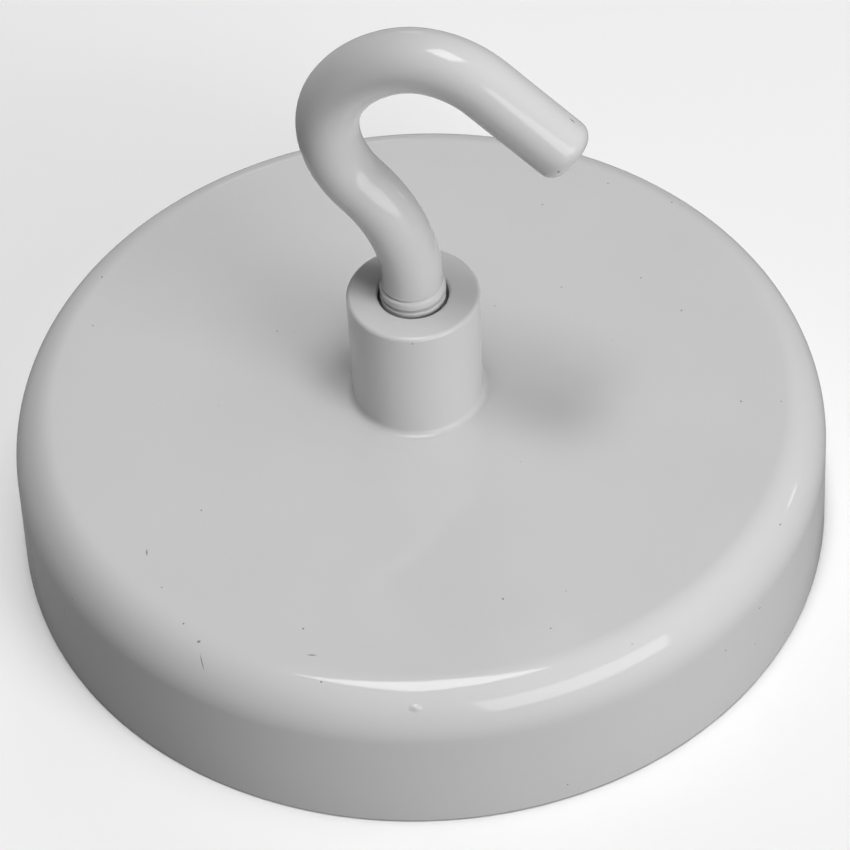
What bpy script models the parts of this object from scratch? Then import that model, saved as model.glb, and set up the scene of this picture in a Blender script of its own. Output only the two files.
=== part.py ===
"""Hook pot magnet: a white steel cup round a ferrite ring magnet, with a threaded
socket on top and a bent wire hook screwed into it.

Metres, +Z up. The origin is the middle of the magnet's holding face, which is the
open side of the cup. The socket and the hook's thread lie on +Z, and the hook is
bent in the XZ plane with its mouth towards +X.
"""
from math import ceil, cos, pi, radians, sin

import bmesh
import bpy
from mathutils import Matrix, Vector

# Clearances
GAP = 0.0003              # between neighbours that rest on or surround each other
THREAD_GAP = 0.0001       # radial play between the two threads

# Cup, deep-drawn from sheet
CUP_RADIUS = 0.025        # at the open rim
CUP_HEIGHT = 0.010
SHEET = 0.0016            # wall and floor
WALL_DRAFT = 0.0003       # how much narrower the wall is where the shoulder starts
SHOULDER_RUN = 0.0026     # shoulder, measured across
SHOULDER_DROP = 0.0032    # shoulder, measured down
RIM_EDGE = 0.0002         # rounding of the rim's edges

# Socket, turned from bar
SOCKET_RADIUS = 0.00395
SOCKET_HEIGHT = 0.0080    # above the cup
SOCKET_EDGE = 0.0002
MOUTH_DEPTH = 0.0009      # least depth of the plain mouth above the first thread
SPIGOT_WALL = 0.0009      # metal round the thread where the socket passes the cup
SWAGE_FLARE = 0.0009      # how far the swaged end spreads past the spigot
SWAGE_THICKNESS = 0.0008

# Thread, M4
THREAD_RADIUS = 0.00195   # crest of the hook's thread
THREAD_DEPTH = 0.00035
THREAD_PITCH = 0.0007
THREAD_TURNS = 11
THREAD_SHOWS = 0.00085    # thread left above the socket's mouth
THREAD_FLANK = 0.35       # share of the pitch taken by each sloping flank
THREAD_END_CHAMFER = 0.0004

# Hook, bent from round wire
WIRE_RADIUS = 0.0018
SHANK_TOP = 0.00146       # plain straight wire above the socket, up to the first bend
NECK_RADIUS = 0.00836     # first bend, away from the mouth
NECK_TURN = 48.6
BACK_RADIUS = 0.00529     # main bend, three stretches of one sweep
BACK_TURN = 79.3
CROWN_RADIUS = 0.00761
CROWN_TURN = 34.6
FRONT_RADIUS = 0.00530
FRONT_TURN = 61.9
LEG_LENGTH = 0.00620      # straight leg down to the tip
TIP_EDGE = 0.0009

# Magnet system inside the cup
MAGNET_RECESS = 0.00035   # magnet's face behind the rim
RESIN_RECESS = 0.0005     # resin's face behind the rim
GLUE = 0.0003
OUTER_RESIN = 0.0017      # resin between magnet and wall, at the rim
POLE_RADIUS = 0.0060
INNER_RESIN = 0.0009      # resin between pole and magnet
MAGNET_CHAMFER = 0.0003

# How finely round shapes are divided
CUP_STEPS = 72
SOCKET_STEPS = 32
WIRE_SIDES = 24
ARC_STEPS = 6
BEND_STEP = 8.0           # degrees of bend to each ring of the wire
SHARP_ANGLE = 35.0        # degrees; steeper edges are shaded sharp
MERGE_DISTANCE = 1e-7

# Places that follow from the sizes
FLOOR = CUP_HEIGHT - SHEET                      # cup's inner floor
WALL_TOP = CUP_HEIGHT - SHOULDER_DROP           # where the shoulder starts
SOCKET_TOP = CUP_HEIGHT + SOCKET_HEIGHT
THREAD_TOP = SOCKET_TOP + THREAD_SHOWS          # top of the hook's thread, screwed home
BORE_RADIUS = THREAD_RADIUS + THREAD_GAP
SPIGOT_RADIUS = BORE_RADIUS + SPIGOT_WALL
SWAGE_RADIUS = SPIGOT_RADIUS + SWAGE_FLARE
SWAGE_TOP = FLOOR - GAP
SWAGE_BOTTOM = SWAGE_TOP - SWAGE_THICKNESS
GLUE_TOP = FLOOR - GAP
MAGNET_TOP = GLUE_TOP - GLUE - GAP
MAGNET_INNER = POLE_RADIUS + 2 * GAP + INNER_RESIN
MAGNET_OUTER = CUP_RADIUS - SHEET - OUTER_RESIN - 2 * GAP


def wall_radius(z):
    """Outer radius of the drafted wall at height z."""
    return CUP_RADIUS - WALL_DRAFT * z / WALL_TOP


def clear_objects():
    for obj in list(bpy.data.objects):
        bpy.data.objects.remove(obj, do_unlink=True)


def finish(name, colour, metallic, roughness):
    """A Principled material."""
    mat = bpy.data.materials.new(name)
    mat.use_nodes = True
    shader = mat.node_tree.nodes["Principled BSDF"]
    shader.inputs["Base Color"].default_value = (*colour, 1.0)
    shader.inputs["Metallic"].default_value = metallic
    shader.inputs["Roughness"].default_value = roughness
    mat.diffuse_color = (*colour, 1.0)
    return mat


def empty(name, place, parent=None):
    obj = bpy.data.objects.new(name, None)
    obj.empty_display_size = 0.01
    obj.location = place
    obj.parent = parent
    bpy.context.collection.objects.link(obj)
    return obj


def solid(bm, name, mat, parent):
    """Close a bmesh into a named object, smooth with sharp edges kept."""
    bmesh.ops.remove_doubles(bm, verts=bm.verts, dist=MERGE_DISTANCE)
    bmesh.ops.recalc_face_normals(bm, faces=bm.faces)
    mesh = bpy.data.meshes.new(name)
    bm.to_mesh(mesh)
    bm.free()
    mesh.shade_smooth()
    mesh.set_sharp_from_angle(angle=radians(SHARP_ANGLE))
    mesh.materials.append(mat)
    obj = bpy.data.objects.new(name, mesh)
    obj.parent = parent
    bpy.context.collection.objects.link(obj)
    return obj


def arc(centre, run, rise, start, end, steps=ARC_STEPS):
    """Points (r, z) along an elliptical arc, angles in degrees from +r."""
    turn = radians(end - start) / steps
    angles = [radians(start) + turn * n for n in range(steps + 1)]
    return [(centre[0] + run * cos(a), centre[1] + rise * sin(a)) for a in angles]


def turned(name, outline, steps, mat, parent):
    """Turn a closed outline of (r, z) points round Z."""
    bm = bmesh.new()
    verts = [bm.verts.new((r, 0.0, z)) for r, z in outline]
    edges = [bm.edges.new((a, b)) for a, b in zip(verts, verts[1:])]
    if outline[0][0] > 0:                       # an outline off the axis is a closed loop
        edges.append(bm.edges.new((verts[-1], verts[0])))
    bmesh.ops.spin(bm, geom=verts + edges, cent=(0, 0, 0), axis=(0, 0, 1), dvec=(0, 0, 0),
                   angle=2 * pi, steps=steps, use_merge=True, use_duplicate=False)
    return solid(bm, name, mat, parent)


def chamfered_ring(inner, outer, bottom, top, chamfer):
    """Outline of a ring with chamfered edges."""
    return [(inner + chamfer, bottom), (outer - chamfer, bottom), (outer, bottom + chamfer),
            (outer, top - chamfer), (outer - chamfer, top), (inner + chamfer, top),
            (inner, top - chamfer), (inner, bottom + chamfer)]


def thread_points(crest, top, turns):
    """Points (r, z) down a thread drawn as separate rings, which can turn freely."""
    root = crest - THREAD_DEPTH
    points = []
    for turn in range(turns):
        z = top - turn * THREAD_PITCH
        points += [(root, z), (crest, z - THREAD_FLANK * THREAD_PITCH),
                   (crest, z - (1 - THREAD_FLANK) * THREAD_PITCH)]
    points.append((root, top - turns * THREAD_PITCH))
    return points


def cup(parent):
    """The drawn cup, with the hole for the socket's spigot."""
    hole = SPIGOT_RADIUS + GAP
    top = wall_radius(WALL_TOP)
    outside = arc((top - SHOULDER_RUN, WALL_TOP), SHOULDER_RUN, SHOULDER_DROP, 0, 90)
    inside = arc((top - SHOULDER_RUN, WALL_TOP), SHOULDER_RUN - SHEET, SHOULDER_DROP - SHEET, 90, 0)
    outline = [(CUP_RADIUS - RIM_EDGE, 0.0), (CUP_RADIUS, RIM_EDGE)]
    outline += outside + [(hole, CUP_HEIGHT), (hole, FLOOR)] + inside
    outline += [(CUP_RADIUS - SHEET, RIM_EDGE), (CUP_RADIUS - SHEET + RIM_EDGE, 0.0)]
    mat = finish("white_powder_coat_cup", (0.60, 0.60, 0.60), 0.0, 0.3)
    return turned("pot_shell", outline, CUP_STEPS, mat, parent)


def socket(parent):
    """The turned socket: collar above the cup, spigot through it, end swaged over inside."""
    mouth = BORE_RADIUS + THREAD_GAP
    collar = CUP_HEIGHT + GAP
    skipped = ceil((THREAD_SHOWS + MOUTH_DEPTH) / THREAD_PITCH)
    thread_top = THREAD_TOP - skipped * THREAD_PITCH    # in step with the hook's thread
    turns = int((thread_top - SWAGE_BOTTOM) / THREAD_PITCH)
    bore = thread_points(BORE_RADIUS, thread_top, turns)
    outline = [(mouth, SOCKET_TOP), (mouth, thread_top)] + bore
    outline += [(bore[-1][0], SWAGE_BOTTOM), (SWAGE_RADIUS, SWAGE_BOTTOM), (SWAGE_RADIUS, SWAGE_TOP)]
    outline += [(SPIGOT_RADIUS, SWAGE_TOP), (SPIGOT_RADIUS, collar), (SOCKET_RADIUS, collar)]
    outline += arc((SOCKET_RADIUS - SOCKET_EDGE, SOCKET_TOP - SOCKET_EDGE),
                   SOCKET_EDGE, SOCKET_EDGE, 0, 90, 3)
    mat = finish("white_powder_coat_socket", (0.60, 0.60, 0.60), 0.0, 0.3)
    return turned("threaded_socket", outline, SOCKET_STEPS, mat, parent)


def magnet(parent):
    outline = chamfered_ring(MAGNET_INNER, MAGNET_OUTER, MAGNET_RECESS, MAGNET_TOP, MAGNET_CHAMFER)
    mat = finish("sintered_ferrite", (0.045, 0.045, 0.050), 0.0, 0.6)
    return turned("ferrite_ring", outline, CUP_STEPS, mat, parent)


def centre_pole(parent):
    """The steel pole in the magnet's hole, hollowed on top to clear the swaged end."""
    clear = SWAGE_RADIUS + GAP
    hollow = SWAGE_BOTTOM - GAP
    outline = [(0.0, 0.0), (POLE_RADIUS - RIM_EDGE, 0.0), (POLE_RADIUS, RIM_EDGE),
               (POLE_RADIUS, FLOOR - GAP), (clear, FLOOR - GAP), (clear, hollow), (0.0, hollow)]
    mat = finish("bare_steel", (0.42, 0.42, 0.43), 1.0, 0.35)
    return turned("centre_pole", outline, SOCKET_STEPS, mat, parent)


def resin_rings(parent):
    """Cast resin on both sides of the magnet, up to the height of the wall's straight part."""
    top = min(WALL_TOP, MAGNET_TOP) - GAP
    outer = [(MAGNET_OUTER + GAP, RESIN_RECESS),
             (wall_radius(RESIN_RECESS) - SHEET - GAP, RESIN_RECESS),
             (wall_radius(top) - SHEET - GAP, top), (MAGNET_OUTER + GAP, top)]
    inner = [(POLE_RADIUS + GAP, RESIN_RECESS), (MAGNET_INNER - GAP, RESIN_RECESS),
             (MAGNET_INNER - GAP, top), (POLE_RADIUS + GAP, top)]
    mat = finish("cast_resin", (0.20, 0.20, 0.19), 0.0, 0.45)
    return [turned("outer_potting_ring", outer, CUP_STEPS, mat, parent),
            turned("inner_potting_ring", inner, SOCKET_STEPS, mat, parent)]


def glue_layer(parent):
    inner = MAGNET_INNER
    outer = min(MAGNET_OUTER, wall_radius(WALL_TOP) - SHOULDER_RUN)
    outline = [(inner, GLUE_TOP - GLUE), (outer, GLUE_TOP - GLUE), (outer, GLUE_TOP), (inner, GLUE_TOP)]
    mat = finish("glue", (0.55, 0.48, 0.30), 0.0, 0.4)
    return turned("magnet_glue_layer", outline, CUP_STEPS, mat, parent)


def grow(bm, ring, radius, place):
    """Extrude the ring of edges along Z to a new height and radius."""
    new = bmesh.ops.extrude_edge_only(bm, edges=ring)["geom"]
    verts = [v for v in new if isinstance(v, bmesh.types.BMVert)]
    old = verts[0].co.xy.length
    bmesh.ops.scale(bm, verts=verts, vec=(radius / old, radius / old, 1.0))
    bmesh.ops.translate(bm, verts=verts, vec=(0, 0, place - verts[0].co.z))
    return [e for e in new if isinstance(e, bmesh.types.BMEdge)]


def bend(bm, ring, centre, turn):
    """Sweep the ring of edges round a centre in the XZ plane; turn in degrees."""
    verts = list({v for e in ring for v in e.verts})
    steps = max(3, round(abs(turn) / BEND_STEP))
    last = bmesh.ops.spin(bm, geom=verts + ring, cent=centre, axis=(0, 1, 0), dvec=(0, 0, 0),
                          angle=radians(turn), steps=steps, use_merge=False,
                          use_duplicate=False)["geom_last"]
    return [e for e in last if isinstance(e, bmesh.types.BMEdge)]


def hook(axis):
    """One wire: threaded shank, neck bent back, main bend over the top, straight leg."""
    bm = bmesh.new()
    profile = thread_points(THREAD_RADIUS, THREAD_TOP, THREAD_TURNS)[::-1]
    end = profile[0][1] - THREAD_END_CHAMFER
    start_radius = profile[0][0] - THREAD_END_CHAMFER
    circle = bmesh.ops.create_circle(bm, cap_ends=False, segments=WIRE_SIDES, radius=start_radius,
                                     matrix=Matrix.Translation((0, 0, end)))["verts"]
    ring = list({e for v in circle for e in v.link_edges})
    first = ring
    for radius, z in profile:
        ring = grow(bm, ring, radius, z)
    ring = grow(bm, ring, WIRE_RADIUS, THREAD_TOP + WIRE_RADIUS - profile[-1][0])
    ring = grow(bm, ring, WIRE_RADIUS, SOCKET_TOP + SHANK_TOP)
    place = Vector((0, 0, SOCKET_TOP + SHANK_TOP))   # end of the wire's centre line so far
    heading = pi / 2                            # its direction, from +X towards +Z
    bends = [(NECK_RADIUS, NECK_TURN), (BACK_RADIUS, -BACK_TURN),
             (CROWN_RADIUS, -CROWN_TURN), (FRONT_RADIUS, -FRONT_TURN)]
    for radius, turn in bends:
        side = radius if turn > 0 else -radius
        centre = place + side * Vector((-sin(heading), 0, cos(heading)))
        ring = bend(bm, ring, centre, -turn)
        place = centre + Matrix.Rotation(radians(-turn), 3, "Y") @ (place - centre)
        heading += radians(turn)
    leg = LEG_LENGTH * Vector((cos(heading), 0, sin(heading)))
    new = bmesh.ops.extrude_edge_only(bm, edges=ring)["geom"]
    bmesh.ops.translate(bm, verts=[v for v in new if isinstance(v, bmesh.types.BMVert)], vec=leg)
    tip = [e for e in new if isinstance(e, bmesh.types.BMEdge)]
    bmesh.ops.edgeloop_fill(bm, edges=first)
    bmesh.ops.edgeloop_fill(bm, edges=tip)
    bmesh.ops.bevel(bm, geom=tip, offset=TIP_EDGE, offset_type="OFFSET", segments=3,
                    profile=0.5, affect="EDGES", material=-1)
    bmesh.ops.translate(bm, verts=bm.verts, vec=(0, 0, -SOCKET_TOP))
    mat = finish("white_powder_coat_hook", (0.60, 0.60, 0.60), 0.0, 0.3)
    return solid(bm, "hook", mat, axis)


def build():
    clear_objects()
    body = empty("magnet_body", (0, 0, 0))
    hook_axis = empty("hook_turn", (0, 0, SOCKET_TOP), body)
    cup(body)
    socket(body)
    magnet(body)
    centre_pole(body)
    resin_rings(body)
    glue_layer(body)
    hook(hook_axis)


build()
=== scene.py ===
"""Looks of a white hook magnet: a coated steel cup round a ferrite ring magnet, with a
threaded socket on top and a bent wire hook screwed into it.

Metres, +Z up, in the frame of the CAD model: the origin is the middle of the holding
face, the socket stands on +Z, and the hook is bent in the XZ plane with its mouth to +X.
"""
from math import atan2, cos, pi, radians, sin, tau

import bmesh
import bpy
from mathutils import Matrix, Vector


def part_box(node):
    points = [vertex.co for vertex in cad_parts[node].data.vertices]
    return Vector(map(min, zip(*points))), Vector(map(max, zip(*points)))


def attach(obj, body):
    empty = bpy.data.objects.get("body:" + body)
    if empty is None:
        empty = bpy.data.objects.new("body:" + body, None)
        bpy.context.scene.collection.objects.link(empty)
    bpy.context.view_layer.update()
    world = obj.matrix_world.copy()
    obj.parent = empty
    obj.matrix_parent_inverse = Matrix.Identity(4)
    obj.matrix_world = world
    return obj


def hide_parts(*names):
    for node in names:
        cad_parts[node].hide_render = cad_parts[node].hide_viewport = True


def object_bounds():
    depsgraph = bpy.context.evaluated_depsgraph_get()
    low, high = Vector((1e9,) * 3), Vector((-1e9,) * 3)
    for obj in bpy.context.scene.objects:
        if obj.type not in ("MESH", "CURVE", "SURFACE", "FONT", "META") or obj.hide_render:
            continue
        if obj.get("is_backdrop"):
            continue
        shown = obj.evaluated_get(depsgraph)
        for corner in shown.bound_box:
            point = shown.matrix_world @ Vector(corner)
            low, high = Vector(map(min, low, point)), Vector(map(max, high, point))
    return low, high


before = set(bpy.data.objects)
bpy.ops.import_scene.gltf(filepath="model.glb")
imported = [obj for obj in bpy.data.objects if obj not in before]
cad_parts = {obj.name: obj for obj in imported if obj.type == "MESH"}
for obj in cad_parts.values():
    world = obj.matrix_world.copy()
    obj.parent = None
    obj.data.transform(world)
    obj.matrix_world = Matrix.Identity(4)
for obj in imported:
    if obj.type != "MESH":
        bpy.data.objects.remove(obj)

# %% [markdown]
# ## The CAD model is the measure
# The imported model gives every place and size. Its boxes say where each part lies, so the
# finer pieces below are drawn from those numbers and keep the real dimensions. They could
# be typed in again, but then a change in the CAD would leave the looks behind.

MM = 0.001
cad_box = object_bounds()

CUP_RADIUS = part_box("pot_shell")[1].x / MM
CUP_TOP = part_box("pot_shell")[1].z / MM
SOCKET_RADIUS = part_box("threaded_socket")[1].x / MM
SOCKET_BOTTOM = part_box("threaded_socket")[0].z / MM
SOCKET_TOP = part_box("threaded_socket")[1].z / MM
POLE_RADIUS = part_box("centre_pole")[1].x / MM
POLE_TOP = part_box("centre_pole")[1].z / MM
MAGNET_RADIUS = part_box("ferrite_ring")[1].x / MM
MAGNET_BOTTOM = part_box("ferrite_ring")[0].z / MM
MAGNET_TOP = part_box("ferrite_ring")[1].z / MM
RESIN_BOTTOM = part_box("outer_potting_ring")[0].z / MM
RESIN_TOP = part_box("outer_potting_ring")[1].z / MM
print(f"cup {2 * CUP_RADIUS:.1f} x {CUP_TOP:.1f} mm, socket up to {SOCKET_TOP:.1f} mm")

# %% [markdown]
# ## Turned pieces
# The cup is deep-drawn, the socket is turned on a lathe, and the magnet, the pole and the
# cast resin are round as well. Each is one closed outline in the XZ plane, spun a full
# turn round Z. Stacked cylinders could stand in for them, but an outline carries every
# rounded edge, and those edges are where light runs. The outline starts with sharp
# corners, and a vertex bevel rounds each one, so a radius is one number to change.

# %% Outline, rounded corners, full turn
CUP_STEPS = 256
SMALL_STEPS = 128
CORNER_STEPS = 8


def keep_piece(bm, name, sharp_angle=40):
    """Turn a finished bmesh into an object at the origin, smooth, with its faces outwards."""
    bmesh.ops.remove_doubles(bm, verts=bm.verts, dist=1e-7)
    bmesh.ops.recalc_face_normals(bm, faces=bm.faces)
    mesh = bpy.data.meshes.new(name)
    bm.to_mesh(mesh)
    bm.free()
    mesh.shade_smooth()
    mesh.set_sharp_from_angle(angle=radians(sharp_angle))
    piece = bpy.data.objects.new(name, mesh)
    bpy.context.collection.objects.link(piece)
    size = [round(s / MM, 2) for s in piece.dimensions]
    print(f"{name}: {len(mesh.polygons)} faces, {size} mm")
    return piece


def round_corner(bm, vert, offset, offset_type, segments):
    bmesh.ops.bevel(bm, geom=[vert], offset=offset, offset_type=offset_type,
                    segments=segments, profile=0.5, affect="VERTICES", material=-1)


def turned_piece(name, corners, steps):
    """Spin a closed outline of (r, z, rounding) corners in mm into a solid."""
    bm = bmesh.new()
    verts = [bm.verts.new((r * MM, 0, z * MM)) for r, z, _ in corners]
    bm.faces.new(verts)
    for vert, (_, _, rounding) in zip(verts, corners):
        if rounding == "half":
            round_corner(bm, vert, 50, "PERCENT", 4 * CORNER_STEPS)
        elif rounding:
            round_corner(bm, vert, rounding * MM, "OFFSET", CORNER_STEPS)
    bmesh.ops.delete(bm, geom=bm.faces[:], context="FACES_ONLY")
    on_axis = [e for e in bm.edges if max(v.co.x for v in e.verts) < 1e-9]
    bmesh.ops.delete(bm, geom=on_axis, context="EDGES")
    bmesh.ops.spin(bm, geom=bm.verts[:] + bm.edges[:], cent=(0, 0, 0), axis=(0, 0, 1),
                   dvec=(0, 0, 0), angle=tau, steps=steps, use_merge=True,
                   use_duplicate=False)
    return keep_piece(bm, name)


# %% [markdown]
# ## The cup
# A disc of 1.6 mm steel drawn into a shallow cup. The wall leans in a little so that the
# cup leaves its die, and the shoulder is longer down than across. A bevel by a share of
# the two edges beside the corner gives that stretched curve: each edge is twice as long
# as its half of the shoulder, and the bevel takes one half of both.

# %% Draw the cup
SHEET = 1.6
DRAFT = 0.3 / 6.8             # how far the wall leans in for each mm up
SHOULDER_ACROSS = 2.46
SHOULDER_DOWN = 3.2
INNER_ACROSS = 0.93
INNER_DOWN = SHOULDER_DOWN - SHEET
HOLE_RADIUS = 3.25            # the socket's spigot passes through it
RIM_EDGE = 0.2                # rounding of the rim that stands on the ground
CUP_FLOOR = CUP_TOP - SHEET


def wall(z):
    """Outer radius of the leaning wall at height z."""
    return CUP_RADIUS - DRAFT * z


cup_corners = [
    (wall(0), 0, RIM_EDGE),
    (wall(CUP_TOP - 2 * SHOULDER_DOWN), CUP_TOP - 2 * SHOULDER_DOWN, 0),
    (wall(CUP_TOP), CUP_TOP, "half"),
    (wall(CUP_TOP) - 2 * SHOULDER_ACROSS, CUP_TOP, 0),
    (HOLE_RADIUS, CUP_TOP, 0),
    (HOLE_RADIUS, CUP_FLOOR, 0),
    (wall(CUP_FLOOR) - SHEET - 2 * INNER_ACROSS, CUP_FLOOR, 0),
    (wall(CUP_FLOOR) - SHEET, CUP_FLOOR, "half"),
    (wall(CUP_FLOOR - 2 * INNER_DOWN) - SHEET, CUP_FLOOR - 2 * INNER_DOWN, 0),
    (wall(0) - SHEET, 0, RIM_EDGE),
]
coated_cup = turned_piece("coated_cup", cup_corners, CUP_STEPS)
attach(coated_cup, "magnet_body")
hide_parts("pot_shell")

# %% [markdown]
# ## The socket
# A collar turned from bar stands on the cup. Its spigot goes through the cup's hole and is
# swaged over inside, and the M4 thread starts below a short plain mouth. The coat is
# sprayed after that, so it gathers in the corner at the foot: a film lies on the cup there,
# with a rounding up the collar that catches the light. The film is drawn thinner than a
# real coat, so that its own edge doesn't show.

# %% Turn the socket
PITCH = 0.7
THREAD_DEPTH = 0.35
THREAD_RADIUS = 1.95          # crest of the hook's thread
BORE_RADIUS = 2.05
MOUTH_RADIUS = 2.10
MOUTH_EDGE = 0.24
RIM_ROUNDING = 0.26
FOOT_ROUNDING = 0.36
FOOT_REACH = 1.15 * FOOT_ROUNDING     # how far the film runs out on the cup
FILM = 0.006
SPIGOT_RADIUS = 2.95
SWAGE_FLARE = 0.9             # how far the swaged end spreads past the spigot
SWAGE_DEPTH = 0.8
SWAGE_EDGE = 0.15
SWAGE_RADIUS = SPIGOT_RADIUS + SWAGE_FLARE
SWAGE_TOP = SOCKET_BOTTOM + SWAGE_DEPTH
THREAD_SHOWS = 0.85           # how much thread stands above the socket
THREAD_TOP = SOCKET_TOP + THREAD_SHOWS
ROOT_START = 0.35             # a groove's flat root, as shares of the pitch
ROOT_END = 0.65
BORE_THREAD_TOP = THREAD_TOP - 3 * PITCH
BORE_TURNS = int((BORE_THREAD_TOP - SOCKET_BOTTOM) / PITCH)

bore = []
for turn in range(BORE_TURNS):
    z = BORE_THREAD_TOP - turn * PITCH
    bore += [(BORE_RADIUS - THREAD_DEPTH, z, 0), (BORE_RADIUS, z - ROOT_START * PITCH, 0),
             (BORE_RADIUS, z - ROOT_END * PITCH, 0)]
bore.append((BORE_RADIUS - THREAD_DEPTH, BORE_THREAD_TOP - BORE_TURNS * PITCH, 0))

socket_corners = [
    (SOCKET_RADIUS + FOOT_REACH, CUP_TOP - FILM, 0),
    (SOCKET_RADIUS + FOOT_REACH, CUP_TOP + FILM, 0),
    (SOCKET_RADIUS, CUP_TOP + FILM, FOOT_ROUNDING),
    (SOCKET_RADIUS, SOCKET_TOP, RIM_ROUNDING),
    (MOUTH_RADIUS, SOCKET_TOP, MOUTH_EDGE),
    (MOUTH_RADIUS, BORE_THREAD_TOP, 0),
    *bore,
    (bore[-1][0], SOCKET_BOTTOM, 0),
    (SWAGE_RADIUS, SOCKET_BOTTOM, SWAGE_EDGE),
    (SWAGE_RADIUS, SWAGE_TOP, SWAGE_EDGE),
    (SPIGOT_RADIUS, SWAGE_TOP, 0),
    (SPIGOT_RADIUS, CUP_TOP - FILM, 0),
]
coated_socket = turned_piece("coated_socket", socket_corners, SMALL_STEPS)
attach(coated_socket, "magnet_body")
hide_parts("threaded_socket")

# %% [markdown]
# ## The hook
# One length of 3.6 mm wire: threaded at one end, then bent back, over the top and down to
# a cut tip. A curve with a round bevel could follow the same path, but a ring of edges
# that is extruded up the shank and then spun round each bend keeps the wire perfectly
# round, and lets the same ring make the thread.

# %% Sweep the wire
WIRE_RADIUS = 1.797
WIRE_SIDES = 64
SHANK_TOP = SOCKET_TOP + 1.46
BENDS = [(8.36, 48.6), (5.29, -79.3), (7.61, -34.6), (5.30, -61.9)]    # radius, degrees
BEND_STEP = 2.0
LEG = 6.20
TIP_ROUNDING = 0.9
TIP_STEPS = 12
THREAD_TURNS = 11
END_CHAMFER = 0.4             # height of the taper below the lowest turn
THREAD_BOTTOM = THREAD_TOP - THREAD_TURNS * PITCH
THREAD_STEP = PITCH / 14       # 14 rings of vertices draw one turn


def raise_ring(bm, ring, height):
    """Extrude a ring of edges straight up to a height in mm; gives the new ring."""
    new = bmesh.ops.extrude_edge_only(bm, edges=ring)["geom"]
    verts = [v for v in new if isinstance(v, bmesh.types.BMVert)]
    bmesh.ops.translate(bm, verts=verts, vec=(0, 0, height * MM - verts[0].co.z))
    return [e for e in new if isinstance(e, bmesh.types.BMEdge)]


def bend_ring(bm, ring, centre, degrees):
    """Spin a ring of edges round a centre in the XZ plane; gives the last ring."""
    verts = list(dict.fromkeys(v for e in ring for v in e.verts))
    last = bmesh.ops.spin(bm, geom=verts + ring, cent=centre, axis=(0, 1, 0),
                          dvec=(0, 0, 0), angle=radians(degrees),
                          steps=round(abs(degrees) / BEND_STEP), use_merge=False,
                          use_duplicate=False)["geom_last"]
    return [e for e in last if isinstance(e, bmesh.types.BMEdge)]


bm = bmesh.new()
end_circle = bmesh.ops.create_circle(
    bm, cap_ends=False, segments=WIRE_SIDES, radius=WIRE_RADIUS * MM,
    matrix=Matrix.Translation((0, 0, (THREAD_BOTTOM - END_CHAMFER) * MM)))["verts"]
# A dict's keys keep their order and a set's don't, so the end is divided alike in every run.
ring = list(dict.fromkeys(e for v in end_circle for e in v.link_edges))
lower_end = ring
height = THREAD_BOTTOM
while height < SHANK_TOP - THREAD_STEP:
    ring = raise_ring(bm, ring, height)
    height += THREAD_STEP
ring = raise_ring(bm, ring, SHANK_TOP)
shank = bm.verts[:]

place = Vector((0, 0, SHANK_TOP * MM))     # end of the wire's centre line so far
heading = pi / 2                           # its direction, from +X towards +Z
for radius, degrees in BENDS:
    side = radius * MM if degrees > 0 else -radius * MM
    centre = place + side * Vector((-sin(heading), 0, cos(heading)))
    ring = bend_ring(bm, ring, centre, -degrees)
    place = centre + Matrix.Rotation(radians(-degrees), 3, "Y") @ (place - centre)
    heading += radians(degrees)

leg = LEG * MM * Vector((cos(heading), 0, sin(heading)))
new = bmesh.ops.extrude_edge_only(bm, edges=ring)["geom"]
bmesh.ops.translate(bm, verts=[v for v in new if isinstance(v, bmesh.types.BMVert)], vec=leg)
tip = [e for e in new if isinstance(e, bmesh.types.BMEdge)]
print(f"wire path ends at {[round(c / MM, 2) for c in place + leg]} mm")

# %% [markdown]
# The thread is rolled into the wire, so its crests stand a little proud of the wire and
# its roots lie below it. A separate screw-shaped ridge could be laid round the shank, but
# the shank already has fine rings, so each of its vertices just moves in or out by where
# it lies on the turn of the helix. The coat fills the grooves where it shows, so its
# crests are broad there. Inside the socket the ridges are level rings, as in the CAD, so
# that the hook can turn without cutting through the socket's thread.

# %% Roll the thread
THREAD_FADE = 0.25            # length over which the ridge runs out
RUN_OUT = 0.3                 # length over which the root rises to the plain wire
END_TAPER = 0.35              # how much the end is narrower than the thread's root
HELIX_BOTTOM = SOCKET_TOP - 0.95     # the helix starts here, hidden in the socket
HELIX_START = 0.30            # turns the helix so that a groove meets the front


def ease(low, high, value):
    """0 below low, 1 above high, and a soft step between them."""
    t = min(max((value - low) / (high - low), 0), 1)
    return t * t * (3 - 2 * t)


def thread_height(z, angle):
    """Radius of the thread in mm, at a height in mm and an angle round the axis."""
    if z > HELIX_BOTTOM:
        phase = ((THREAD_TOP - z) / PITCH + angle / tau + HELIX_START) % 1
        ridge = ease(-0.04, 0.20, phase) - ease(0.80, 1.04, phase)
    else:
        phase = (THREAD_TOP - z) / PITCH % 1
        ridge = ease(0.02, 0.38, phase) - ease(0.62, 0.98, phase)
    ridge *= ease(0, THREAD_FADE, abs(z - HELIX_BOTTOM))
    root = THREAD_RADIUS - THREAD_DEPTH
    thread = root + THREAD_DEPTH * ridge
    plain = ease(THREAD_TOP - THREAD_FADE, THREAD_TOP + RUN_OUT, z)
    return thread + (WIRE_RADIUS - thread) * plain


for vert in shank:
    z = vert.co.z / MM
    if z < THREAD_TOP + RUN_OUT:
        radius = thread_height(z, atan2(vert.co.y, vert.co.x))
        if z < THREAD_BOTTOM:
            radius = THREAD_RADIUS - THREAD_DEPTH - END_TAPER
        scale = radius * MM / vert.co.xy.length
        vert.co.x *= scale
        vert.co.y *= scale

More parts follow.
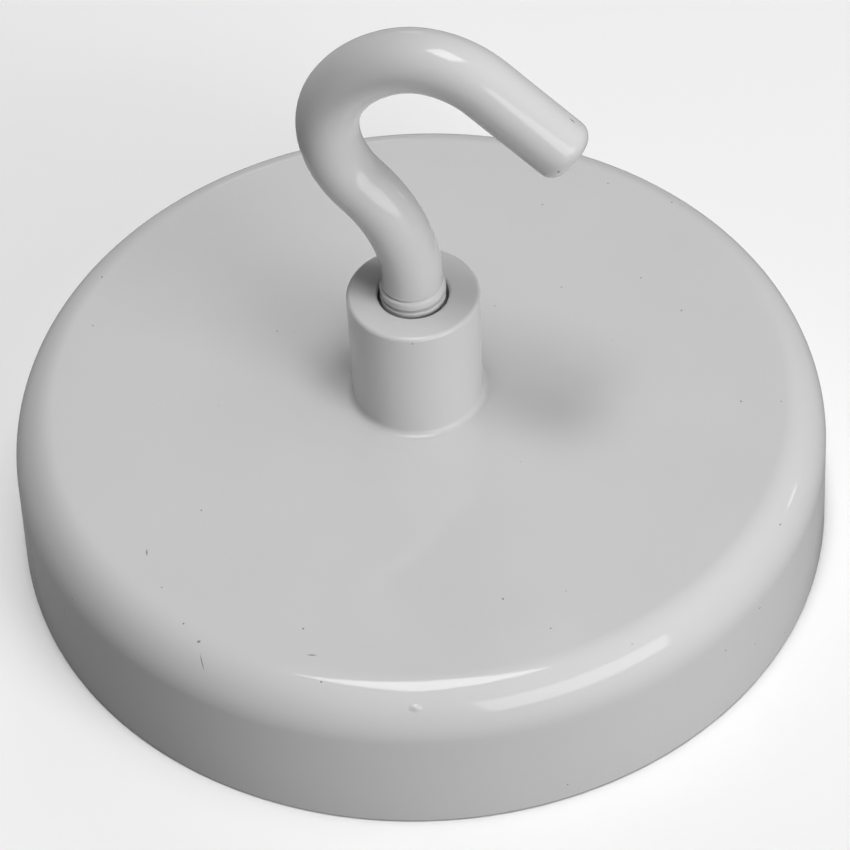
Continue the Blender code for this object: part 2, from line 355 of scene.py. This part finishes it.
bmesh.ops.edgeloop_fill(bm, edges=lower_end)
bmesh.ops.edgeloop_fill(bm, edges=tip)
bmesh.ops.bevel(bm, geom=tip, offset=TIP_ROUNDING * MM, offset_type="OFFSET",
                segments=TIP_STEPS, profile=0.5, affect="EDGES", material=-1)
wire_hook = keep_piece(bm, "wire_hook")
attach(wire_hook, "hook")
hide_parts("hook")

# %% [markdown]
# ## Magnet, pole and resin
# Seen from below, a sintered ferrite ring lies round a turned steel pole, and both stand
# in cast resin. Resin creeps up what it touches as it sets, so its face is a shallow
# trough, and its edges rise where it meets steel and ferrite.

# %% Turn the inside
GAP = 0.3                     # room round the swaged end in the pole
MAGNET_EDGE = 0.3
POLE_FACE_EDGE = 0.2
POLE_TOP_EDGE = 0.1
RESIN_EDGE = 0.2
MAGNET_HOLE = 7.5
POLE_HOLLOW = SWAGE_RADIUS + GAP
HOLLOW_BOTTOM = SOCKET_BOTTOM - GAP
CREEP = 0.14                  # how far the resin climbs
CREEP_RUN = 0.35

ferrite_magnet = turned_piece("ferrite_magnet", [
    (MAGNET_HOLE, MAGNET_BOTTOM, MAGNET_EDGE), (MAGNET_RADIUS, MAGNET_BOTTOM, MAGNET_EDGE),
    (MAGNET_RADIUS, MAGNET_TOP, MAGNET_EDGE), (MAGNET_HOLE, MAGNET_TOP, MAGNET_EDGE)],
    CUP_STEPS)
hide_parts("ferrite_ring")

steel_pole = turned_piece("steel_pole", [
    (0, 0, 0), (POLE_RADIUS, 0, POLE_FACE_EDGE), (POLE_RADIUS, POLE_TOP, POLE_TOP_EDGE),
    (POLE_HOLLOW, POLE_TOP, 0), (POLE_HOLLOW, HOLLOW_BOTTOM, 0), (0, HOLLOW_BOTTOM, 0)],
    SMALL_STEPS)
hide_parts("centre_pole")


def resin_ring(name, inner, outer_bottom, outer_top, node):
    """A cast ring whose face sinks between its two neighbours."""
    ring = turned_piece(name, [
        (inner, RESIN_BOTTOM, 0), (inner + CREEP_RUN, RESIN_BOTTOM + CREEP, RESIN_EDGE),
        (outer_bottom - CREEP_RUN, RESIN_BOTTOM + CREEP, RESIN_EDGE),
        (outer_bottom, RESIN_BOTTOM, 0), (outer_top, RESIN_TOP, 0), (inner, RESIN_TOP, 0)],
        CUP_STEPS)
    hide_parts(node)
    return ring


cup_inside = wall(RESIN_BOTTOM) - SHEET
resin_outer = resin_ring("resin_outer", MAGNET_RADIUS, cup_inside,
                         wall(RESIN_TOP) - SHEET, "outer_potting_ring")
resin_inner = resin_ring("resin_inner", POLE_RADIUS, MAGNET_HOLE, MAGNET_HOLE,
                         "inner_potting_ring")
for piece in (ferrite_magnet, steel_pole, resin_outer, resin_inner):
    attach(piece, "magnet_body")

# %% [markdown]
# ## Materials
# Colours are written as the hex values a colour picker shows, and one function turns them
# to the linear values that Blender calculates with. Another small function adds a node,
# sets it and links it, so that each material below reads as a short recipe. Sockets that
# share a name go by number: on a colour Mix, 0 is the factor and 6 and 7 the two colours.

# %% Colour and node helpers


def colour(hex_value):
    """sRGB hex such as "C8C8C6" to linear red, green, blue and alpha."""
    channels = [int(hex_value[i:i + 2], 16) / 255 for i in (0, 2, 4)]
    linear = [c / 12.92 if c <= 0.04045 else ((c + 0.055) / 1.055) ** 2.4 for c in channels]
    return (*linear, 1.0)


def new_material(name, **settings):
    """A Principled material with its plain sockets set by name."""
    mat = bpy.data.materials.new(name)
    mat.use_nodes = True
    shader = mat.node_tree.nodes["Principled BSDF"]
    for socket, value in settings.items():
        shader.inputs[socket.replace("_", " ")].default_value = value
    mat.diffuse_color = shader.inputs["Base Color"].default_value
    return mat, shader


def add_node(mat, kind, inputs=None, **settings):
    """Add one node: settings are its properties, inputs are values or links by socket."""
    node = mat.node_tree.nodes.new("ShaderNode" + kind)
    for name, value in settings.items():
        setattr(node, name, value)
    for socket, value in (inputs or {}).items():
        if isinstance(value, bpy.types.NodeSocket):
            mat.node_tree.links.new(value, node.inputs[socket])
        else:
            node.inputs[socket].default_value = value
    return node


def dress(piece, mat):
    """Give a piece one material and print how much that material is made of."""
    piece.data.materials.clear()
    piece.data.materials.append(mat)
    print(f"{piece.name}: {mat.name}, {len(mat.node_tree.nodes)} nodes")


# %% [markdown]
# ## The white coat
# A polyester powder coat, sprayed on and melted in an oven. It flows out almost flat, and
# what gives it away is a faint waviness called orange peel, a few grains of dust caught
# under the gloss, and small pits. The dust could be scattered as little meshes, but a
# Voronoi pattern whose cells are mostly left empty puts a dot of random size wherever the
# surface happens to cut through a grain, on every side of every piece. On the holding
# face the coat rubs through to bright steel, so height above that face mixes the two.

# %% White coat
# Real coat: IOR about 1.5, full gloss. Orange peel waves are 1 to 2 mm apart.
coat, shader = new_material("white_polyester_powder_coat", IOR=1.5)
where = add_node(coat, "TexCoord").outputs["Object"]
PER_MM = 1 / MM               # pattern scale that gives cells of 1 mm

peel = add_node(coat, "TexNoise", {"Vector": where, "Scale": 0.9 * PER_MM, "Detail": 1.5})
cloud = add_node(coat, "TexNoise", {"Vector": where, "Scale": 0.12 * PER_MM, "Detail": 3.0})
dust = add_node(coat, "TexVoronoi", {"Vector": where, "Scale": 0.9 * PER_MM})
kept = add_node(coat, "SeparateColor", {"Color": dust.outputs["Color"]})
empty_cell = add_node(coat, "Math", {0: kept.outputs["Red"], 1: 0.17},
                      operation="GREATER_THAN")
grain = add_node(coat, "MapRange", {"Value": dust.outputs["Distance"], "From Min": 0.02,
                                    "From Max": 0.075, "To Min": 1.0, "To Max": 0.0},
                 interpolation_type="SMOOTHSTEP")
speck = add_node(coat, "Math", {0: grain.outputs["Result"], 1: empty_cell.outputs[0]},
                 operation="SUBTRACT", use_clamp=True)


def mark(place, size, turn=(0, 0, 0)):
    """1 in the middle of a small blob on the coat, 0 from its edge; mm and degrees."""
    local = add_node(coat, "Mapping", {
        "Vector": where, "Location": [c * MM for c in place], "Scale": [c * MM for c in size],
        "Rotation": [radians(a) for a in turn]}, vector_type="TEXTURE")
    reach = add_node(coat, "VectorMath", {0: local.outputs[0]}, operation="LENGTH")
    return add_node(coat, "MapRange", {"Value": reach.outputs["Value"], "To Min": 1.0,
                                       "To Max": 0.0}, interpolation_type="SMOOTHSTEP")


flaws = speck
for place, size, turn in (
        ((-5.3, -22.3, 9.83), (0.17, 0.12, 0.2), (0, 0, 20)),      # grain of dirt
        ((-4.8, -23.2, 9.25), (0.06, 0.06, 0.65), (55, 0, -145)),  # brush hair
        ((1.2, -21.4, 10.0), (0.40, 0.07, 0.1), (0, 0, 15)),       # lint
        ((-10.6, -17.2, 10.0), (0.07, 0.35, 0.1), (0, 0, 25)),     # lint
        ((9.5, -1.7, 31.5), (0.13, 0.13, 0.13), (0, 0, 0)),        # pit by the hook's tip
        ((9.6, 0.4, 33.4), (0.30, 0.10, 0.25), (0, 30, 0))):       # scratch by the tip
    flaws = add_node(coat, "Math", {0: flaws.outputs[0],
                                    1: mark(place, size, turn).outputs["Result"]},
                     operation="MAXIMUM")
blister = mark((7.7, -22.55, 9.13), (0.45, 0.28, 0.28), (0, 0, 19))

# The rubbed holding face: steel shows in blotches, to about 0.1 mm above the face.
height = add_node(coat, "SeparateXYZ", {"Vector": where}).outputs["Z"]
near_face = add_node(coat, "MapRange", {"Value": height, "From Min": 0.04 * MM,
                                        "From Max": 0.20 * MM, "To Min": 0.62,
                                        "To Max": 0.0})
scuff = add_node(coat, "TexNoise", {"Vector": where, "Scale": 0.8 * PER_MM, "Detail": 6.0,
                                    "Roughness": 0.7})
bare = add_node(coat, "Math", {0: near_face.outputs["Result"], 1: scuff.outputs[0]},
                operation="SUBTRACT")
worn = add_node(coat, "MapRange", {"Value": bare.outputs[0], "From Min": 0.0,
                                   "From Max": 0.06}, interpolation_type="SMOOTHSTEP")

tone = add_node(coat, "Mix", {0: cloud.outputs[0], 6: colour("C9C9C9"), 7: colour("CFCFCF")},
                data_type="RGBA")
dusty = add_node(coat, "Mix", {0: flaws.outputs[0], 6: tone.outputs[2], 7: colour("686868")},
                 data_type="RGBA")
coloured = add_node(coat, "Mix", {0: worn.outputs["Result"], 6: dusty.outputs[2],
                                  7: colour("A9A9AB")}, data_type="RGBA")
gloss = add_node(coat, "MapRange", {"Value": cloud.outputs[0], "To Min": 0.05,
                                    "To Max": 0.10})
rough = add_node(coat, "MapRange", {"Value": worn.outputs["Result"], "To Max": 0.38,
                                    "To Min": gloss.outputs["Result"]})
waves = add_node(coat, "Bump", {"Height": peel.outputs[0], "Strength": 1.0,
                                "Distance": 0.0035 * MM})
bubble = add_node(coat, "Bump", {"Height": blister.outputs["Result"], "Strength": 1.0,
                                 "Distance": 0.08 * MM, "Normal": waves.outputs[0]})
pits = add_node(coat, "Bump", {"Height": flaws.outputs[0], "Strength": 1.0,
                               "Distance": 0.015 * MM, "Normal": bubble.outputs[0]},
                invert=True)
coat.node_tree.links.new(coloured.outputs[2], shader.inputs["Base Color"])
coat.node_tree.links.new(worn.outputs["Result"], shader.inputs["Metallic"])
coat.node_tree.links.new(rough.outputs["Result"], shader.inputs["Roughness"])
coat.node_tree.links.new(pits.outputs[0], shader.inputs["Normal"])
for piece in (coated_cup, coated_socket, wire_hook):
    dress(piece, coat)

# %% [markdown]
# ## Ferrite
# Pressed ceramic powder, sintered and then ground flat on its holding face. It is a dark
# grey stone with a dull sheen. Grinding leaves straight fine lines all one way, and the
# brittle material is a little mottled and pitted. Stretching a noise along one axis gives
# the lines, and a plain noise gives the mottling.

# %% Sintered ferrite
# Grinding lines are about 0.05 mm apart; drawn 0.12 mm apart so that they show.
ferrite, shader = new_material("sintered_ferrite", IOR=2.0)
where = add_node(ferrite, "TexCoord").outputs["Object"]
along = add_node(ferrite, "Mapping", {"Vector": where, "Rotation": (0, 0, radians(28)),
                                      "Scale": (0.03, 1, 1)})
lines = add_node(ferrite, "TexNoise", {"Vector": along.outputs[0], "Scale": 8 * PER_MM,
                                       "Detail": 2.0})
mottle = add_node(ferrite, "TexNoise", {"Vector": where, "Scale": 1.6 * PER_MM,
                                        "Detail": 8.0, "Roughness": 0.7})
chips = add_node(ferrite, "TexVoronoi", {"Vector": where, "Scale": 1.1 * PER_MM})
chip = add_node(ferrite, "MapRange", {"Value": chips.outputs["Distance"], "From Min": 0.06,
                                      "From Max": 0.16, "To Min": 1.0, "To Max": 0.0})
stone = add_node(ferrite, "Mix", {0: mottle.outputs[0], 6: colour("2B2B2E"),
                                  7: colour("515156")}, data_type="RGBA")
pitted = add_node(ferrite, "Mix", {0: chip.outputs["Result"], 6: stone.outputs[2],
                                   7: colour("1C1C1E")}, data_type="RGBA")
sheen = add_node(ferrite, "MapRange", {"Value": lines.outputs[0], "To Min": 0.38,
                                       "To Max": 0.62})
ground = add_node(ferrite, "Bump", {"Height": lines.outputs[0], "Strength": 1.0,
                                    "Distance": 0.004 * MM})
rough_skin = add_node(ferrite, "Bump", {"Height": chip.outputs["Result"], "Strength": 1.0,
                                        "Distance": 0.03 * MM,
                                        "Normal": ground.outputs[0]}, invert=True)
ferrite.node_tree.links.new(pitted.outputs[2], shader.inputs["Base Color"])
ferrite.node_tree.links.new(sheen.outputs["Result"], shader.inputs["Roughness"])
ferrite.node_tree.links.new(rough_skin.outputs[0], shader.inputs["Normal"])
dress(ferrite_magnet, ferrite)

# %% [markdown]
# ## Turned steel
# The pole is cut from bar and faced on a lathe, so its face shows rings round the centre.
# Distance from the axis drives a wave, and a noise breaks the rings up, because a tool
# never cuts every turn alike.

# %% Turned mild steel
# Feed marks are about 0.1 mm apart; drawn 0.25 mm apart so that they show.
FEED = 0.25
WAVE_RADIANS = 20             # a wave texture turns this far per unit of distance
steel, shader = new_material("turned_mild_steel", Metallic=1.0)
where = add_node(steel, "TexCoord").outputs["Object"]
rings = add_node(steel, "TexWave", {"Vector": where, "Scale": tau / WAVE_RADIANS / FEED * PER_MM,
                                    "Distortion": 0.6, "Detail": 2.0,
                                    "Detail Scale": 2.0},
                 wave_type="RINGS", rings_direction="Z")
stain = add_node(steel, "TexNoise", {"Vector": where, "Scale": 0.5 * PER_MM,
                                     "Detail": 6.0})
metal = add_node(steel, "Mix", {0: stain.outputs[0], 6: colour("8E8E90"),
                                7: colour("B6B6B8")}, data_type="RGBA")
cut = add_node(steel, "MapRange", {"Value": rings.outputs["Fac"], "To Min": 0.26,
                                   "To Max": 0.42})
feed = add_node(steel, "Bump", {"Height": rings.outputs["Fac"], "Strength": 1.0,
                                "Distance": 0.003 * MM})
steel.node_tree.links.new(metal.outputs[2], shader.inputs["Base Color"])
steel.node_tree.links.new(cut.outputs["Result"], shader.inputs["Roughness"])
steel.node_tree.links.new(feed.outputs[0], shader.inputs["Normal"])
dress(steel_pole, steel)

# %% [markdown]
# ## Cast resin and glue
# The resin is a filled black-grey epoxy, poured in and left to set, with pinholes where
# bubbles burst. The glue film under the magnet is the same kind of epoxy without filler,
# a cloudy amber. Both get their bubbles from a Voronoi pattern at the size of real ones.

# %% Filled epoxy and clear glue
# Bubbles are up to about 0.3 mm across and a little over 1 mm apart.


def epoxy(name, dark, pale, roughness):
    """Epoxy with cloudy colour and small burst bubbles."""
    mat, shader = new_material(name, IOR=1.55)
    where = add_node(mat, "TexCoord").outputs["Object"]
    cloud = add_node(mat, "TexNoise", {"Vector": where, "Scale": 0.35 * PER_MM,
                                       "Detail": 5.0})
    bubbles = add_node(mat, "TexVoronoi", {"Vector": where, "Scale": 0.8 * PER_MM})
    bubble = add_node(mat, "MapRange", {"Value": bubbles.outputs["Distance"],
                                        "From Min": 0.08, "From Max": 0.15,
                                        "To Min": 1.0, "To Max": 0.0})
    body = add_node(mat, "Mix", {0: cloud.outputs[0], 6: colour(dark), 7: colour(pale)},
                    data_type="RGBA")
    sheen = add_node(mat, "MapRange", {"Value": cloud.outputs[0],
                                       "To Min": roughness - 0.08,
                                       "To Max": roughness + 0.08})
    holes = add_node(mat, "Bump", {"Height": bubble.outputs["Result"], "Strength": 1.0,
                                   "Distance": 0.05 * MM}, invert=True)
    mat.node_tree.links.new(body.outputs[2], shader.inputs["Base Color"])
    mat.node_tree.links.new(sheen.outputs["Result"], shader.inputs["Roughness"])
    mat.node_tree.links.new(holes.outputs[0], shader.inputs["Normal"])
    return mat


resin = epoxy("filled_epoxy_resin", "2E2E2D", "454543", 0.32)
glue = epoxy("unfilled_epoxy_glue", "8F7B45", "C2AF78", 0.35)
for piece in (resin_outer, resin_inner):
    dress(piece, resin)
dress(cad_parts["magnet_glue_layer"], glue)

# %% [markdown]
# ## Floor
# A product like this is shown on a sheet of pale paper that sweeps up behind it. The floor
# is one large square at the height of the holding face, with no pattern, and far from the
# cup it fades into the backdrop, so that hardly any horizon shows from a low side. The
# paper is nearly white to the camera, and a darker grey is mixed in for the light it throws
# back, so that the cup's wall isn't lit too strongly from below. Real paper has one colour:
# this is a stage trick, and only the floor and the world have it.

# %% Lay the floor
FLOOR_REACH = 2.0             # metres from the middle to each side
FADE_FROM = 0.12              # metres from the cup's middle
FADE_TO = 0.60
floor_mesh = bmesh.new()
bmesh.ops.create_grid(floor_mesh, x_segments=1, y_segments=1, size=FLOOR_REACH)
mesh = bpy.data.meshes.new("floor")
floor_mesh.to_mesh(mesh)
floor_mesh.free()
studio_floor = bpy.data.objects.new("floor", mesh)
bpy.context.collection.objects.link(studio_floor)
BACKDROP = colour("F4F4F4")
BACKDROP_LEVEL = 0.95
paper, shader = new_material("pale_paper", Base_Color=colour("F8F8F8"), Roughness=0.9)
where = add_node(paper, "TexCoord").outputs["Object"]
away = add_node(paper, "VectorMath", {0: where}, operation="LENGTH")
fade = add_node(paper, "MapRange", {"Value": away.outputs["Value"], "From Min": FADE_FROM,
                                    "From Max": FADE_TO}, interpolation_type="SMOOTHSTEP")
glow = add_node(paper, "Emission", {"Color": BACKDROP, "Strength": BACKDROP_LEVEL})
sweep = add_node(paper, "MixShader", {0: fade.outputs["Result"], 1: shader.outputs[0],
                                      2: glow.outputs[0]})
seen = add_node(paper, "LightPath").outputs["Is Camera Ray"]
bounce = add_node(paper, "BsdfDiffuse", {"Color": colour("989898")})
shown = add_node(paper, "MixShader", {0: seen, 1: bounce.outputs[0], 2: sweep.outputs[0]})
paper_output = paper.node_tree.nodes["Material Output"]
paper.node_tree.links.new(shown.outputs[0], paper_output.inputs["Surface"])
dress(studio_floor, paper)
studio_floor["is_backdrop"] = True
print(f"floor: {studio_floor.dimensions.x:.0f} m square")

# %% [markdown]
# ## Camera
# The view is a three-quarter one from above: the hook shows its open side, and the top and
# the wall of the cup are both seen. A long lens from a short way off keeps the round cup
# from looking stretched. The camera is placed by turning and tilting about a point inside
# the cup, so its angles can be read straight from the numbers.

# %% Place the camera
CAMERA_AZIMUTH = 21.49        # degrees to the right of a square view of the hook
CAMERA_HEIGHT = 47.27
CAMERA_ROLL = -3.03
CAMERA_DISTANCE = 189.08      # mm from the point aimed at
AIM_HEIGHT = 5.25             # mm above the holding face

camera_data = bpy.data.cameras.new("camera")
camera_data.lens = 130.0
camera_data.sensor_width = 36
camera_data.clip_start = 0.01
camera_data.shift_x = 0.0049
camera_data.shift_y = 0.0170
camera = bpy.data.objects.new("camera", camera_data)
turn = (Matrix.Rotation(radians(CAMERA_AZIMUTH), 4, "Z")
        @ Matrix.Rotation(radians(90 - CAMERA_HEIGHT), 4, "X"))
aim = Vector((0, 0, AIM_HEIGHT * MM))
camera.matrix_world = (Matrix.Translation(aim) @ turn
                       @ Matrix.Translation((0, 0, CAMERA_DISTANCE * MM))
                       @ Matrix.Rotation(radians(CAMERA_ROLL), 4, "Z"))
bpy.context.collection.objects.link(camera)
bpy.context.scene.camera = camera
print("camera at", [round(c / MM) for c in camera.matrix_world.translation], "mm")

# %% [markdown]
# ## Light
# A white glossy thing is drawn by two kinds of light: broad soft light shades it, and the
# shapes of the lamps show as bright patches wherever it is rounded. One big lamp could do
# both, but then a change to the patch would change the shading. So each lamp here either
# lights the surface or shines in the coat: a square ceiling panel gives the bright curve on
# the front of the shoulder, and a wide window gives the streak to the right of it.

# %% Set the light
ROOM_LIGHT = 0.115            # faint light from all round
world = bpy.data.worlds.new("studio")
world.use_nodes = True
bpy.context.scene.world = world
bpy.context.scene.view_settings.view_transform = "Standard"
backdrop = world.node_tree.nodes["Background"]
backdrop.inputs["Color"].default_value = BACKDROP
seen = add_node(world, "LightPath").outputs["Is Camera Ray"]
level = add_node(world, "MapRange", {"Value": seen, "To Min": ROOM_LIGHT,
                                     "To Max": BACKDROP_LEVEL})
world.node_tree.links.new(level.outputs["Result"], backdrop.inputs["Strength"])


def soft_light(name, azimuth, height, distance, size, power, shine=False, spin=0):
    """A lamp aimed at the cup: angles in degrees, distance and size in metres.
    A shine lamp only makes highlights, and the others only light the surface."""
    data = bpy.data.lights.new(name, "AREA")
    data.shape = "RECTANGLE"
    data.size, data.size_y = size
    data.energy = power
    lamp = bpy.data.objects.new(name, data)
    lamp.matrix_world = (Matrix.Rotation(radians(azimuth), 4, "Z")
                         @ Matrix.Rotation(radians(90 - height), 4, "X")
                         @ Matrix.Translation((0, 0, distance))
                         @ Matrix.Rotation(radians(spin), 4, "Z"))
    lamp.visible_glossy = shine
    lamp.visible_diffuse = not shine
    bpy.context.collection.objects.link(lamp)


soft_light("overhead", -48.5, 89, 0.7, (0.12, 0.12), 1.34)
soft_light("overhead_front", -8.5, 81, 0.7, (0.12, 0.12), 0.76)
soft_light("overhead_right", 101.5, 78, 0.7, (0.30, 0.24), 0.66)
soft_light("overhead_near", 21.5, 78, 0.7, (0.30, 0.24), 0.44)
soft_light("window", 66.0, 12, 0.7, (0.35, 0.28), 2.80)
soft_light("window_high", 66.5, 35, 0.7, (0.30, 0.24), 0.38)
soft_light("behind", 201.5, 35, 0.7, (0.30, 0.24), 0.18)
soft_light("behind_low", 201.5, 8, 0.7, (0.14, 0.10), 0.75)
soft_light("ceiling_shine", 14.0, 83, 0.6, (0.25, 0.25), 0.98, True, 45)
soft_light("window_shine", 56.5, 21.5, 0.6, (0.50, 0.26), 0.94, True)
soft_light("side_shine", 126.5, 11, 0.6, (0.06, 0.06), 0.03, True)
soft_light("far_shine", 207.5, 25, 0.6, (0.12, 0.15), 0.04, True)

# %% [markdown]
# ## Finish
# The looks are meant to fill the same space as the CAD model, so the shift of each corner of
# their box is printed.

# %% Compare the boxes and finish
looks_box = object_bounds()
for corner, (was, now) in enumerate(zip(cad_box, looks_box)):
    shift = [round((b - a) / MM, 3) for a, b in zip(was, now)]
    print(f"corner {corner} moved by {shift} mm")
